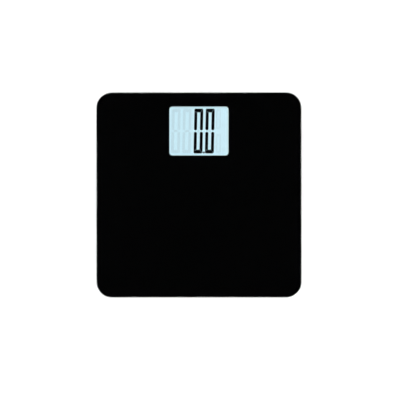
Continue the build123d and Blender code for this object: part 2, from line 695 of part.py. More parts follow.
for number, (y, end) in enumerate(CELLS, 1):
    tip = end * (END - PLATE - DIMPLE)
    with BuildPart() as battery:
        with BuildSketch(Plane.YZ.offset(tip - end * NUB)):
            with Locations((y, CELL_Z)):
                Circle(CELL_R)
        extrude(amount=-end * CELL_LEN)
        fillet(battery.edges().filter_by(GeomType.CIRCLE), 0.5)
        with BuildSketch(Plane.YZ.offset(tip - end * NUB)):
            with Locations((y, CELL_Z)):
                Circle(1.9)
        extrude(amount=end * NUB)
    keep(battery, f"battery_{number}")


def make_contact(end, y0, y1, dimple_y=None, tab_y=None):
    """Plated spring-steel contact against an end wall of the bay."""
    inner = end * (END - PLATE)
    with BuildPart() as contact:
        with BuildSketch(Plane.YZ.offset(inner)):
            with Locations(((y0 + y1) / 2, 11.9)):
                RectangleRounded(y1 - y0, 8.8, 1.0)
        extrude(amount=end * PLATE)
        if dimple_y is not None:
            with BuildSketch(Plane.YZ.offset(inner)):
                with Locations((dimple_y, CELL_Z)):
                    Circle(2.0)
            extrude(amount=-end * DIMPLE)
        if tab_y is not None:
            with BuildSketch(Plane.YZ.offset(inner)):
                with Locations((tab_y, 13.2)):
                    Rectangle(3.0, 0.4)
            extrude(amount=end * 4.1)
    return contact


y1, y2, y3 = (y for y, end in CELLS)
keep(make_contact(-1, y1 - 4.5, y1 + 4.5, dimple_y=y1, tab_y=y1), "battery_contact_positive")
keep(make_contact(1, y3 - 4.5, y3 + 4.5, tab_y=y3), "battery_contact_negative")
keep(make_contact(1, y1 - 4.5, y2 + 4.5, dimple_y=y2), "battery_link_right")
keep(make_contact(-1, y2 - 4.5, y3 + 4.5, dimple_y=y3), "battery_link_left")

SPRING_WIRE = 0.3


def make_spring(y, end):
    """Coil spring between a contact and the negative end of the cell at y."""
    plate_x = -end * (END - PLATE - SPRING_WIRE)
    cell_x = end * (END - PLATE - DIMPLE - NUB - CELL_LEN) - end * SPRING_WIRE
    height = abs(plate_x - cell_x)
    with BuildPart() as spring:
        with BuildLine() as coil:
            Helix(pitch=height / 4, height=height, radius=3.0, center=(plate_x, y, CELL_Z), direction=(end, 0, 0))
        with BuildSketch(Plane(origin=coil.line @ 0, z_dir=coil.line % 0)):
            Circle(SPRING_WIRE)
        sweep(path=coil.line, is_frenet=True)
    return spring


springs = [make_spring(y, end).part for y, end in CELLS]
with BuildPart() as battery_springs:
    add(springs)
keep(battery_springs, "battery_springs")

keep(wire_solid([(-30.2, y1, 13.2), (-32.6, y1, 13.2), (-32.6, 38.0, 13.2), (-32.6, 46.0, 12.75)], [1.6, 12.0], 0.5), "battery_wire_red")
keep(wire_solid([(30.2, y3, 13.2), (32.6, y3, 13.2), (32.6, 43.5, 13.2), (32.6, 48.0, 12.75)], [1.6, 6.0], 0.5), "battery_wire_black")

with BuildPart() as battery_door:
    with BuildSketch(Plane.YZ.offset(-28.2)):
        with Locations(((HINGE_Y + 48.2) / 2, HINGE_Z)):
            Rectangle(48.2 - HINGE_Y, DOOR_T)
        with Locations((HINGE_Y, HINGE_Z)):
            Circle(DOOR_T / 2)
    extrude(amount=56.4)
    fillet(battery_door.edges().filter_by(Axis.Z).sort_by(Axis.Y)[-2:], 1.2)
    for side in (-1, 1):
        with BuildSketch(Plane.YZ.offset(side * 28.2)):
            with Locations((HINGE_Y, HINGE_Z)):
                Circle(0.6)
        extrude(amount=side * 1.6)
    # Springy latch tongue between two slits, its hook and its grip ribs.
    with BuildSketch(Plane.XY.offset(POD_BOTTOM)):
        with Locations((-7.5, 43.0), (7.5, 43.0)):
            Rectangle(1.0, 12.0)
    extrude(amount=DOOR_T, mode=Mode.SUBTRACT)
    with BuildSketch(Plane.XY.offset(POD_BOTTOM + DOOR_T - 0.1)):
        with Locations((0, 47.7)):
            Rectangle(8.0, 1.0)
    extrude(amount=0.9)
    with BuildSketch(Plane.XY.offset(POD_BOTTOM - 0.25)):
        with Locations(*[(0, y) for y in (37.6, 39.6, 41.6, 43.6, 45.6)]):
            SlotOverall(10.0, 0.9)
    extrude(amount=0.35)
    # Stiffening ribs on the inside, between the cells.
    with BuildSketch(Plane.XY.offset(POD_BOTTOM + DOOR_T - 0.1)):
        with Locations((0, BAY_Y - CELL_PITCH / 2), (0, BAY_Y + CELL_PITCH / 2)):
            Rectangle(44.0, 1.2)
    extrude(amount=0.9)
keep(battery_door, "battery_door")

print("bend radii of the wires from the front feet:", sensor_route("front_left")[1])
print("bend radii of the wires from the rear feet:", sensor_route("rear_left")[1])
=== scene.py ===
import math

import bmesh
import bpy
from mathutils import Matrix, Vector


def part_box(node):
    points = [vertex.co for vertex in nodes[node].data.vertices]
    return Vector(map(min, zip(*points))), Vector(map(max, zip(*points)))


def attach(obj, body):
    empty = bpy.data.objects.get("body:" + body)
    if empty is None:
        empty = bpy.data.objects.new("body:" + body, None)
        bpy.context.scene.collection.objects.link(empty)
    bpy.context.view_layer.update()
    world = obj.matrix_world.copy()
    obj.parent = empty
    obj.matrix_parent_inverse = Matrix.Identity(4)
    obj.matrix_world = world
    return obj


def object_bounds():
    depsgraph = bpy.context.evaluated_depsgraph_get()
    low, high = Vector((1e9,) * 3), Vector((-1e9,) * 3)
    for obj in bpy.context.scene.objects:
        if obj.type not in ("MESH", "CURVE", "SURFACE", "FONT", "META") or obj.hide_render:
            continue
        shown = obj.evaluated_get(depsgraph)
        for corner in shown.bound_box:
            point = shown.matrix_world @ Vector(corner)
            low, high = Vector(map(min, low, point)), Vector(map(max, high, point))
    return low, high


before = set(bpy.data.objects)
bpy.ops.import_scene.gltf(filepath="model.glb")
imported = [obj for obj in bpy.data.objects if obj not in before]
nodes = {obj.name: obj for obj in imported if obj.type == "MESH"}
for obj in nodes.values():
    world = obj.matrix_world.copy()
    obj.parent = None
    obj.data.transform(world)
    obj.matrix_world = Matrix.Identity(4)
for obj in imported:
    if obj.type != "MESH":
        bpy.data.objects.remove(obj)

cad_box = [list(corner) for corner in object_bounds()]
MM = 0.001

FEET = ("front_left", "front_right", "rear_left", "rear_right")

chip_low, chip_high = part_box("controller_chip")
MARKED = {"controller_chip": ((chip_low.x + chip_high.x) / 2, (chip_low.y + chip_high.y) / 2), "board_coil": (0.024, 0.062)}


# ---------------------------------------------------------------- node helpers
class Maker:
    """One procedural material: short calls that add nodes and join them."""

    def __init__(self, name):
        self.mat = bpy.data.materials.new(name)
        self.mat.use_nodes = True
        self.nt = self.mat.node_tree
        self.bsdf = self.nt.nodes["Principled BSDF"]
        self.coord = self.nt.nodes.new("ShaderNodeTexCoord")

    def node(self, kind, **props):
        n = self.nt.nodes.new(kind)
        for key, value in props.items():
            setattr(n, key, value)
        return n

    def join(self, a, b):
        self.nt.links.new(a, b)

    def put(self, **values):
        for key, value in values.items():
            self.bsdf.inputs[key.replace("_", " ")].default_value = value
        return self

    def mapped(self, scale=(1, 1, 1), rotation=(0, 0, 0)):
        m = self.node("ShaderNodeMapping")
        m.inputs["Scale"].default_value = scale
        m.inputs["Rotation"].default_value = rotation
        self.join(self.coord.outputs["Object"], m.inputs["Vector"])
        return m.outputs["Vector"]

    def noise(self, scale, detail=3.0, rough=0.5, vector=None, distortion=0.0):
        n = self.node("ShaderNodeTexNoise")
        n.inputs["Scale"].default_value = scale
        n.inputs["Detail"].default_value = detail
        n.inputs["Roughness"].default_value = rough
        n.inputs["Distortion"].default_value = distortion
        self.join(vector or self.coord.outputs["Object"], n.inputs["Vector"])
        return n.outputs["Fac"]

    def voronoi(self, scale, feature="F1", vector=None, randomness=1.0):
        n = self.node("ShaderNodeTexVoronoi", feature=feature)
        n.inputs["Scale"].default_value = scale
        n.inputs["Randomness"].default_value = randomness
        self.join(vector or self.coord.outputs["Object"], n.inputs["Vector"])
        return n.outputs["Distance"]

    def ramp(self, fac, stops, mode="LINEAR"):
        r = self.node("ShaderNodeValToRGB")
        r.color_ramp.interpolation = mode
        ramp = r.color_ramp
        while len(ramp.elements) < len(stops):
            ramp.elements.new(0.5)
        for element, (at, colour) in zip(ramp.elements, stops):
            element.position = at
            element.color = (*colour, 1.0) if len(colour) == 3 else colour
        self.join(fac, r.inputs["Fac"])
        return r.outputs["Color"]

    def span(self, fac, low, high, start=0.0, end=1.0, kind="LINEAR"):
        m = self.node("ShaderNodeMapRange", interpolation_type=kind)
        m.inputs["From Min"].default_value = start
        m.inputs["From Max"].default_value = end
        m.inputs["To Min"].default_value = low
        m.inputs["To Max"].default_value = high
        self.join(fac, m.inputs["Value"])
        return m.outputs["Result"]

    def math(self, op, a, b=None):
        m = self.node("ShaderNodeMath", operation=op)
        for i, v in enumerate((a, b)):
            if v is None:
                continue
            if isinstance(v, (int, float)):
                m.inputs[i].default_value = v
            else:
                self.join(v, m.inputs[i])
        return m.outputs[0]

    def mix(self, fac, a, b, mode="MIX"):
        m = self.node("ShaderNodeMix", data_type="RGBA", blend_type=mode)
        for socket, v in ((m.inputs["Factor"], fac), (m.inputs[6], a), (m.inputs[7], b)):
            if isinstance(v, (int, float)):
                socket.default_value = v
            elif isinstance(v, (tuple, list)):
                socket.default_value = (*v, 1.0) if len(v) == 3 else v
            else:
                self.join(v, socket)
        return m.outputs[2]

    def axis(self, which, space="Object"):
        s = self.node("ShaderNodeSeparateXYZ")
        self.join(self.coord.outputs[space], s.inputs["Vector"])
        return s.outputs[which]

    def bump(self, height, distance, strength=1.0, under=None):
        b = self.node("ShaderNodeBump")
        b.inputs["Distance"].default_value = distance
        b.inputs["Strength"].default_value = strength
        self.join(height, b.inputs["Height"])
        if under is not None:
            self.join(under, b.inputs["Normal"])
        self.join(b.outputs["Normal"], self.bsdf.inputs["Normal"])
        return b.outputs["Normal"]

    def base(self, colour):
        self.join(colour, self.bsdf.inputs["Base Color"])

    def rough(self, value):
        self.join(value, self.bsdf.inputs["Roughness"])


# ---------------------------------------------------------------- materials
def moulded_plastic(name, dark, light, grain=1500.0, rough=(0.42, 0.56), depth=0.00003, spec=0.5):
    """Spark-textured moulded plastic: fine grain, faint flow marks and slightly uneven gloss."""
    m = Maker(name)
    m.put(Specular_IOR_Level=spec)
    cloud = m.noise(38.0, 4.0, 0.55)
    fine = m.noise(grain, 2.0, 0.6)
    m.base(m.ramp(cloud, [(0.3, dark), (0.7, light)]))
    m.rough(m.span(m.math("ADD", m.math("MULTIPLY", cloud, 0.6), m.math("MULTIPLY", fine, 0.4)), *rough, 0.3, 0.7))
    pits = m.voronoi(grain * 0.8)
    m.bump(m.math("ADD", m.math("MULTIPLY", fine, 0.6), m.math("MULTIPLY", pits, 0.6)), depth, 0.8)
    return m.mat


def film(name, colour, rough=0.3, speck=0.04):
    m = Maker(name)
    fac = m.noise(240.0, 3.0)
    low = tuple(c * (1 - speck) for c in colour)
    m.base(m.ramp(fac, [(0.35, low), (0.65, colour)]))
    m.rough(m.span(m.noise(90.0), rough * 0.85, rough * 1.15, 0.3, 0.7))
    return m.mat


def vinyl(name, dark, light):
    m = Maker(name)
    m.base(m.ramp(m.noise(160.0, 3.0), [(0.3, dark), (0.7, light)]))
    m.rough(m.span(m.noise(420.0), 0.34, 0.5, 0.3, 0.7))
    m.bump(m.noise(2600.0, 2.0), 0.00001, 0.5)
    return m.mat


def plated_steel(name, dark, light, rough=(0.22, 0.4), tint=None):
    """Zinc or nickel plate: rolled streaks, faint spangle and duller patches."""
    m = Maker(name)
    m.put(Metallic=1.0)
    streak = m.noise(300.0, 4.0, 0.6, m.mapped((1.0, 9.0, 1.0)))
    patch = m.noise(70.0, 3.0, 0.5)
    both = m.math("ADD", m.math("MULTIPLY", streak, 0.5), m.math("MULTIPLY", patch, 0.5))
    colour = m.ramp(both, [(0.35, dark), (0.65, light)])
    if tint:
        colour = m.mix(m.span(m.noise(25.0, 2.0), 0.0, 0.45, 0.4, 0.7), colour, tint)
    m.base(colour)
    m.rough(m.span(both, *rough, 0.35, 0.65))
    m.bump(streak, 0.00001, 0.35)
    return m.mat


def tempered_glass():
    m = Maker("tempered_glass")
    m.put(Base_Color=(0.985, 1.0, 0.995, 1.0), Transmission_Weight=1.0, IOR=1.52)
    smear = m.noise(14.0, 5.0, 0.6, m.mapped((1.0, 1.6, 1.0), (0, 0, 0.5)), 0.6)
    m.rough(m.span(smear, 0.0, 0.018, 0.45, 0.8))
    absorb = m.node("ShaderNodeVolumeAbsorption")
    absorb.inputs["Color"].default_value = (0.30, 0.86, 0.70, 1.0)
    absorb.inputs["Density"].default_value = 5.0
    m.join(absorb.outputs["Volume"], m.nt.nodes["Material Output"].inputs["Volume"])
    return m.mat


def enamel():
    m = Maker("black_enamel_print")
    m.put(Specular_IOR_Level=0.0)
    cloud = m.noise(55.0, 4.0)
    m.base(m.ramp(cloud, [(0.3, (0.0010, 0.0010, 0.0011)), (0.7, (0.0016, 0.0016, 0.0018))]))
    m.rough(m.span(m.noise(900.0), 0.3, 0.42, 0.3, 0.7))
    # Against the glass it shows no gloss of its own; its bare underside does.
    under = m.math("LESS_THAN", m.axis("Z"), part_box("back_print")[0].z + 0.00002)
    m.join(under, m.bsdf.inputs["Coat Weight"])
    m.put(Coat_Roughness=0.22)
    return m.mat


def foam():
    m = Maker("bonding_foam")
    cells = m.voronoi(2600.0)
    m.base(m.ramp(cells, [(0.1, (0.012, 0.012, 0.013)), (0.75, (0.045, 0.045, 0.048))]))
    m.put(Specular_IOR_Level=0.2)
    m.rough(m.span(cells, 0.78, 0.95, 0.1, 0.7))
    m.bump(cells, 0.0001, 0.8)
    return m.mat


def tread_rubber():
    m = Maker("tread_rubber")
    cloud, fine = m.noise(85.0, 4.0), m.noise(2200.0, 3.0, 0.65)
    m.base(m.ramp(cloud, [(0.3, (0.036, 0.036, 0.038)), (0.7, (0.062, 0.062, 0.065))]))
    m.put(Specular_IOR_Level=0.32)
    m.rough(m.span(fine, 0.62, 0.84, 0.3, 0.7))
    m.bump(fine, 0.00004, 0.7)
    return m.mat


# The lit display: brightest to the right.
LIT = (0.648, 0.878, 0.985)


def lit_display(name, share, strength=1.0):
    """A display layer that glows. share dims it, as a segment that is off still does a little."""
    m = Maker(name)
    m.put(Base_Color=(0.020, 0.026, 0.028, 1.0), Specular_IOR_Level=0.1)
    across = m.span(m.axis("X"), 0.0, 1.0, -0.0434, 0.0434)
    cloud = m.noise(30.0, 2.0, 0.4)
    left, right = tuple(c * share * 0.965 for c in LIT), tuple(c * share * 1.03 for c in LIT)
    even = m.ramp(across, [(0.0, left), (0.12, tuple(c * 1.018 for c in left)), (0.55, tuple(c * share for c in LIT)), (1.0, right)])
    soft = m.mix(m.span(cloud, 0.0, 0.5, 0.35, 0.7), even, tuple(c * share * 0.985 for c in LIT))
    # Painted shade: the glow is dimmed and warmed along the window's right side, where the window's edge shades it.
    side = m.span(m.axis("X"), 0.0, 1.0, 0.0409, 0.0430, "SMOOTHSTEP")      # dimmer and warmer along its right side
    soft = m.mix(side, soft, tuple(c * share * k for c, k in zip(LIT, (0.93, 0.90, 0.82))))
    # Painted shadow: the glow is darkened along the window's top, standing in for the bezel's shadow.
    painted_top_shadow = m.span(m.axis("Y"), 0.0, 0.18, 0.1258, 0.1294, "SMOOTHSTEP")     # dimmer along the window's top
    m.join(m.mix(painted_top_shadow, soft, (0.0, 0.0, 0.0)), m.bsdf.inputs["Emission Color"])
    m.bsdf.inputs["Emission Strength"].default_value = strength
    m.rough(m.span(m.noise(1400.0, 2.0), 0.5, 0.62, 0.3, 0.7))
    return m.mat


def segment_black():
    m = Maker("display_segment_on")
    m.put(Specular_IOR_Level=0.03)
    m.base(m.ramp(m.noise(420.0, 3.0), [(0.3, (0.0010, 0.0011, 0.0016)), (0.7, (0.0019, 0.0020, 0.0028))]))
    m.rough(m.span(m.noise(1400.0), 0.45, 0.6, 0.3, 0.7))
    return m.mat


def cell_jacket(name, positive, body_a, body_b, band):
    """Printed battery jacket: dark body, a coloured band at the positive end, bare metal rims."""
    m = Maker(name)
    along = m.math("MULTIPLY", m.axis("X"), float(positive))     # metres towards the positive end
    satin = m.noise(60.0, 3.0)
    body = m.ramp(satin, [(0.3, body_a), (0.7, body_b)])
    is_band = m.math("GREATER_THAN", along, 0.0095)
    pin = m.math("MULTIPLY", m.math("GREATER_THAN", along, 0.0081), m.math("LESS_THAN", along, 0.0086))
    painted = m.mix(is_band, body, band)
    painted = m.mix(pin, painted, (0.72, 0.70, 0.66))
    ends = m.math("MAXIMUM", m.math("GREATER_THAN", along, 0.02395), m.math("LESS_THAN", along, -0.0185))
    steel = m.ramp(m.noise(500.0), [(0.3, (0.55, 0.55, 0.55)), (0.7, (0.72, 0.71, 0.69))])
    m.base(m.mix(ends, painted, steel))
    m.join(ends, m.bsdf.inputs["Metallic"])
    m.rough(m.span(m.noise(800.0), 0.26, 0.38, 0.3, 0.7))
    m.bump(m.noise(900.0, 2.0), 0.000008, 0.4)
    return m.mat


def solder_mask():
    """Green board: patches of parallel copper runs and a few pours under the mask, and plated holes whose dark centres
    are painted shade.
    """
    m = Maker("board_green")
    grid = m.mapped((1.0, 1.0, 0.0))
    x, y = m.axis("X"), m.axis("Y")

    def runs(value, pitch, share):
        return m.math("LESS_THAN", m.math("FRACT", m.math("ADD", m.math("DIVIDE", value, pitch), 100.0)), share)

    patch = m.node("ShaderNodeTexVoronoi", feature="F1", distance="CHEBYCHEV")
    patch.inputs["Scale"].default_value = 105.0
    patch.inputs["Randomness"].default_value = 0.85
    m.join(grid, patch.inputs["Vector"])
    pick = m.node("ShaderNodeSeparateColor")
    m.join(patch.outputs["Color"], pick.inputs["Color"])
    which = pick.outputs["Red"]
    copper = runs(y, 0.0011, 0.46)
    for above, pattern in ((0.34, runs(x, 0.0011, 0.46)), (0.62, runs(m.math("ADD", x, y), 0.00156, 0.44)), (0.74, 1.0), (0.9, 0.0)):
        step = m.math("GREATER_THAN", which, above)
        kept = m.math("MULTIPLY", m.math("SUBTRACT", 1.0, step), copper)
        copper = m.math("ADD", kept, m.math("MULTIPLY", step, pattern))
    spots = m.voronoi(150.0, vector=grid, randomness=0.9)
    pad, painted_hole_shade = m.math("LESS_THAN", spots, 0.075), m.math("LESS_THAN", spots, 0.034)
    cloth = m.noise(700.0, 2.0, vector=grid)
    laminate = m.ramp(cloth, [(0.3, (0.004, 0.052, 0.024)), (0.7, (0.006, 0.064, 0.030))])
    over = m.mix(copper, laminate, (0.010, 0.118, 0.048))
    over = m.mix(pad, over, (0.60, 0.58, 0.50))
    # White printed rings round the chip and the coil.
    for node, reach in (("controller_chip", 0.0088), ("board_coil", 0.0036)):
        cx, cy = MARKED[node]
        dx, dy = m.math("SUBTRACT", x, cx), m.math("SUBTRACT", y, cy)
        away = m.math("SQRT", m.math("ADD", m.math("MULTIPLY", dx, dx), m.math("MULTIPLY", dy, dy)))
        ring = m.math("COMPARE", away, reach)
        ring.node.inputs[2].default_value = 0.00012
        over = m.mix(ring, over, (0.80, 0.80, 0.78))
    # Painted shade: a near-black dot in each pad stands in for the shade down its plated hole.
    m.base(m.mix(painted_hole_shade, over, (0.01, 0.01, 0.01)))
    m.rough(m.span(cloth, 0.22, 0.34, 0.3, 0.7))
    m.bump(copper, 0.00003, 0.6)
    return m.mat


def board_parts():
    """Chip capacitors and resistors with tinned ends, a crystal's can, a wound coil and a small-outline driver."""
    m = Maker("component_bodies")
    x, y = m.axis("X"), m.axis("Y")
    grain = m.noise(600.0, 3.0)
    tan = m.ramp(grain, [(0.3, (0.36, 0.25, 0.14)), (0.7, (0.48, 0.35, 0.21))])
    black = m.ramp(grain, [(0.3, (0.012, 0.012, 0.013)), (0.7, (0.024, 0.024, 0.026))])
    colour = m.mix(m.math("GREATER_THAN", x, 0.0), tan, black)
    ends = 0.0
    for row in (0.058, 0.061, 0.074):
        off = m.math("ABSOLUTE", m.math("SUBTRACT", y, row))
        end = m.math("MULTIPLY", m.math("GREATER_THAN", off, 0.00062), m.math("LESS_THAN", off, 0.00101))
        ends = m.math("MAXIMUM", ends, end)
    small = m.math("GREATER_THAN", m.axis("Z"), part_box("board_components")[1].z - 0.00061)
    ends = m.math("MULTIPLY", ends, small)
    can = m.math("MULTIPLY", m.math("LESS_THAN", x, -0.0215), m.math("COMPARE", y, 0.0675))
    can.node.inputs[1].links[0].from_node.inputs[2].default_value = 0.0017
    metal = m.math("MAXIMUM", ends, can)
    m.base(m.mix(metal, colour, m.ramp(grain, [(0.3, (0.60, 0.60, 0.60)), (0.7, (0.74, 0.74, 0.73))])))
    m.join(metal, m.bsdf.inputs["Metallic"])
    m.rough(m.span(grain, 0.24, 0.4, 0.3, 0.7))
    m.bump(m.noise(1500.0, 2.0), 0.00001, 0.5)
    return m.mat


def striped_rubber():
    """Zebra strip: thin dark conductive layers between pink silicone."""
    m = Maker("zebra_strip")
    wave = m.node("ShaderNodeTexWave", wave_type="BANDS", bands_direction="X", wave_profile="SAW")
    wave.inputs["Scale"].default_value = 400.0
    m.join(m.coord.outputs["Object"], wave.inputs["Vector"])
    m.base(m.ramp(wave.outputs["Fac"], [(0.0, (0.55, 0.22, 0.30)), (0.55, (0.60, 0.26, 0.34)), (0.6, (0.02, 0.02, 0.02)), (1.0, (0.03, 0.03, 0.03))], "CONSTANT"))
    m.rough(m.span(m.noise(500.0), 0.5, 0.65, 0.3, 0.7))
    return m.mat


def light_guide():
    """Clear acrylic with rows of frosted dots printed on its underside."""
    m = Maker("light_guide")
    grid = m.mapped((1.0, 1.0, 0.0))
    dots = m.math("LESS_THAN", m.voronoi(700.0, vector=grid, randomness=0.0), 0.32)
    m.base(m.mix(dots, (0.80, 0.90, 0.93), (0.96, 0.97, 0.98)))
    m.rough(m.span(dots, 0.12, 0.6))
    m.put(Specular_IOR_Level=0.5)
    return m.mat


def led_resin():
    m = Maker("led_package")
    inside = m.noise(900.0, 2.0)
    m.base(m.ramp(inside, [(0.35, (0.86, 0.86, 0.83)), (0.65, (0.93, 0.90, 0.55))]))
    m.rough(m.span(inside, 0.25, 0.4, 0.3, 0.7))
    return m.mat


def silicone():
    m = Maker("white_silicone")
    soft = m.noise(420.0, 3.0)
    m.base(m.ramp(soft, [(0.3, (0.74, 0.74, 0.71)), (0.7, (0.83, 0.83, 0.80))]))
    m.put(Subsurface_Weight=0.15, Subsurface_Scale=0.001)
    m.rough(m.span(soft, 0.34, 0.5, 0.3, 0.7))
    m.bump(soft, 0.00015, 0.5)
    return m.mat


black_abs = moulded_plastic("textured_black_abs", (0.017, 0.017, 0.018), (0.026, 0.026, 0.028))
housing_abs = moulded_plastic("housing_black_abs", (0.015, 0.015, 0.016), (0.023, 0.023, 0.025), 1700.0, (0.4, 0.54))
door_abs = moulded_plastic("door_black_abs", (0.020, 0.020, 0.021), (0.030, 0.030, 0.032), 1900.0, (0.38, 0.5))
cup_abs = moulded_plastic("cup_dark_abs", (0.030, 0.030, 0.032), (0.046, 0.046, 0.049), 1300.0, (0.36, 0.5))
cover_abs = moulded_plastic("wire_cover_black_abs", (0.019, 0.019, 0.020), (0.028, 0.028, 0.030), 1800.0, (0.44, 0.58))
button_abs = moulded_plastic("button_grey_abs", (0.20, 0.205, 0.215), (0.26, 0.265, 0.28), 2200.0, (0.3, 0.42), 0.000015)
stem_nylon = moulded_plastic("stem_black_nylon", (0.020, 0.020, 0.020), (0.040, 0.040, 0.040), 2500.0, (0.3, 0.42), 0.00001)
epoxy_black = moulded_plastic("chip_black_epoxy", (0.008, 0.008, 0.009), (0.016, 0.016, 0.017), 900.0, (0.16, 0.3), 0.00004, 0.6)
component_mix = board_parts()
zinc = plated_steel("zinc_plated_steel", (0.50, 0.51, 0.52), (0.70, 0.71, 0.72), (0.26, 0.44), (0.66, 0.63, 0.50))
screw_steel = plated_steel("black_zinc_screw", (0.16, 0.16, 0.17), (0.30, 0.30, 0.31), (0.3, 0.46))
nickel = plated_steel("nickel_plate", (0.62, 0.59, 0.54), (0.80, 0.77, 0.71), (0.14, 0.28))
solder = plated_steel("reflowed_solder", (0.58, 0.58, 0.59), (0.78, 0.78, 0.78), (0.16, 0.3))
switch_steel = plated_steel("switch_tin", (0.44, 0.44, 0.45), (0.62, 0.62, 0.62), (0.28, 0.42))
glass = tempered_glass()
thin_glass = film("display_glass_edge", (0.66, 0.80, 0.82), 0.12)
white_film = film("white_film", (0.88, 0.89, 0.90), 0.4)
lit_face = lit_display("display_lit_face", 1.0)
lit_under = lit_display("display_lit_film", 0.96)
off_segment = lit_display("display_segment_off", 0.875)
off_small = lit_display("display_small_segment_off", 0.905)
off_unit = lit_display("display_unit_off", 0.925)
on_segment = segment_black()
red_vinyl = vinyl("wire_red_vinyl", (0.42, 0.012, 0.012), (0.56, 0.022, 0.018))
white_vinyl = vinyl("wire_white_vinyl", (0.66, 0.66, 0.63), (0.78, 0.78, 0.75))
black_vinyl = vinyl("wire_black_vinyl", (0.012, 0.012, 0.012), (0.024, 0.024, 0.024))
cell_a = cell_jacket("cell_jacket_1", -1, (0.010, 0.016, 0.030), (0.016, 0.025, 0.045), (0.55, 0.33, 0.12))
cell_b = cell_jacket("cell_jacket_2", 1, (0.010, 0.016, 0.030), (0.016, 0.025, 0.045), (0.55, 0.33, 0.12))

FINISH = {
    "glass_platform": glass,
    "back_print": enamel(),
    "foot_tapes": foam(), "pod_tape": foam(), "lcd_gasket": foam(),
    "pod_frame": black_abs, "pod_cover": black_abs, "battery_door": door_abs,
    "wire_cover_left": cover_abs, "wire_cover_right": cover_abs,
    "unit_button": button_abs, "switch_stem": stem_nylon,
    "lcd_front_polarizer": lit_face, "lcd_rear_polarizer": lit_under,
    "lcd_front_glass": thin_glass, "lcd_rear_glass": thin_glass,
    "backlight_diffuser": white_film, "backlight_reflector": white_film, "backlight_guide": light_guide(),
    "backlight_led_strip": solder_mask(), "backlight_leds": led_resin(),
    "zebra_connector": striped_rubber(), "circuit_board": solder_mask(),
    "controller_chip": epoxy_black, "board_components": component_mix, "solder_joints": solder, "tact_switch": switch_steel,
    "battery_1": cell_a, "battery_2": cell_b, "battery_3": cell_a,
    "battery_contact_positive": nickel, "battery_contact_negative": nickel,
    "battery_link_left": nickel, "battery_link_right": nickel, "battery_springs": nickel,
    "pod_screws": screw_steel, "board_screws": zinc,
    "sensor_wires_red": red_vinyl, "sensor_wires_white": white_vinyl, "sensor_wires_black": black_vinyl,
    "battery_wire_red": red_vinyl, "battery_wire_black": black_vinyl,
    "strain_gauge_seals": silicone(),
}
rubber = tread_rubber()
for corner in FEET:
    FINISH[f"foot_housing_{corner}"] = housing_abs
    FINISH[f"load_cell_{corner}"] = zinc
    FINISH[f"foot_cup_{corner}"] = cup_abs
    FINISH[f"foot_pad_{corner}"] = rubber

for name, obj in nodes.items():
    for index in range(len(obj.material_slots)):
        obj.material_slots[index].material = FINISH[name]

# The print is fired onto the glass: its top lies a few microns inside it, so no air shows between them.
bond = nodes["back_print"].modifiers.new("bond", "DISPLACE")
bond.direction = "Z"
bond.mid_level = 0.0
bond.strength = 0.000004


# ---------------------------------------------------------------- pieces drawn in millimetres
def solid(name, outlines, z0, z1, material, body="platform"):
    """Flat closed prisms, one for each outline, from z0 to z1, in one mesh that rides on a body."""
    bm = bmesh.new()
    for outline in outlines:
        low = [bm.verts.new((x * MM, y * MM, z0 * MM)) for x, y in outline]
        high = [bm.verts.new((x * MM, y * MM, z1 * MM)) for x, y in outline]
        bm.faces.new(list(reversed(low)))
        bm.faces.new(high)
        for i in range(len(outline)):
            j = (i + 1) % len(outline)
            bm.faces.new((low[i], low[j], high[j], high[i]))
    bmesh.ops.recalc_face_normals(bm, faces=bm.faces)
    mesh = bpy.data.meshes.new(name)
    bm.to_mesh(mesh)
    bm.free()
    obj = bpy.data.objects.new(name, mesh)
    bpy.context.scene.collection.objects.link(obj)
    obj.data.materials.append(material)
    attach(obj, body)
    return obj


def rounded(points, r, steps=4):
    """The outline with each corner rounded by radius r, or by as much as its sides allow."""
    out = []
    n = len(points)
    for i in range(n):
        a, b, c = Vector(points[i - 1]), Vector(points[i]), Vector(points[(i + 1) % n])
        u, v = (a - b), (c - b)
        half = u.angle(v) / 2
        cut = min(r / math.tan(half), u.length * 0.45, v.length * 0.45)
        p, q = b + u.normalized() * cut, b + v.normalized() * cut
        for k in range(steps + 1):
            t = k / steps
            w = (1 - t) ** 2 * p + 2 * t * (1 - t) * b + t ** 2 * q
            out.append((w.x, w.y))
    return out


def trimmed(points, nx, ny, reach):
    """The convex outline cut back to where nx x + ny y is at most reach."""
    out = []
    for i in range(len(points)):
        (x0, y0), (x1, y1) = points[i - 1], points[i]
        d0, d1 = nx * x0 + ny * y0 - reach, nx * x1 + ny * y1 - reach
        if (d0 > 0) != (d1 > 0):
            t = d0 / (d0 - d1)
            out.append((x0 + t * (x1 - x0), y0 + t * (y1 - y0)))
        if d1 <= 0:
            out.append((x1, y1))
    return out


